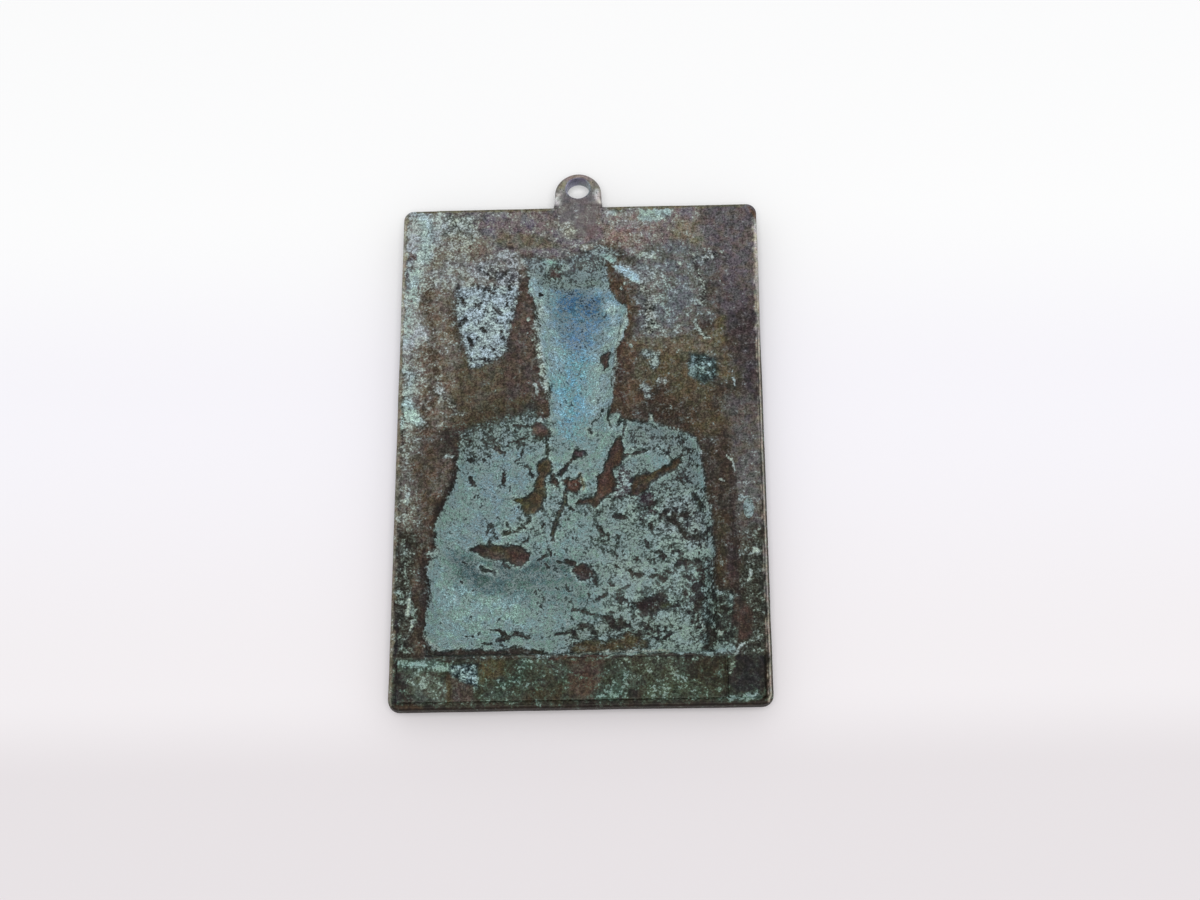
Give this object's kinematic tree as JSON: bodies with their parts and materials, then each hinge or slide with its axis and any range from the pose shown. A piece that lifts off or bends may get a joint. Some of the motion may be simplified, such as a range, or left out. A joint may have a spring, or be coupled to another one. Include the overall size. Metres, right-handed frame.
{
  "type": "devotional plaque",
  "caption": "Small bronze icon plaque on its face: a saint's bust in thin struck relief, hollow behind, with an edge rim, a hanging lug and a strip across the foot of the back.",
  "frame": {"origin": "centre of the underside of the bounding box, where the crests of the relief rest", "axes": "+Y from the plaque's foot to its hanging lug; +Z out of the hollow back, with the relief's front facing down; +X to the right as the back is seen"},
  "size_m": [0.06, 0.0966, 0.0049],
  "materials": {
    "relief_bronze": "dull, verdigris over brown bronze",
    "rim_bronze": "rubbed brown bronze with traces of verdigris",
    "lug_bronze": "rubbed grey-brown bronze",
    "strip_bronze": "dull, mottled dark green and brown",
    "patch_bronze": "dark brown, nearly black",
    "solder": "grey solder under pale verdigris"
  },
  "bodies": {
    "root": {"relief_plate": "relief_bronze", "rim_channel": "rim_bronze", "hanging_lug": "lug_bronze", "foot_strip": "strip_bronze", "corner_patch": "patch_bronze", "lug_solder": "solder", "edge_solder": "solder"}
  },
  "joints": []
}
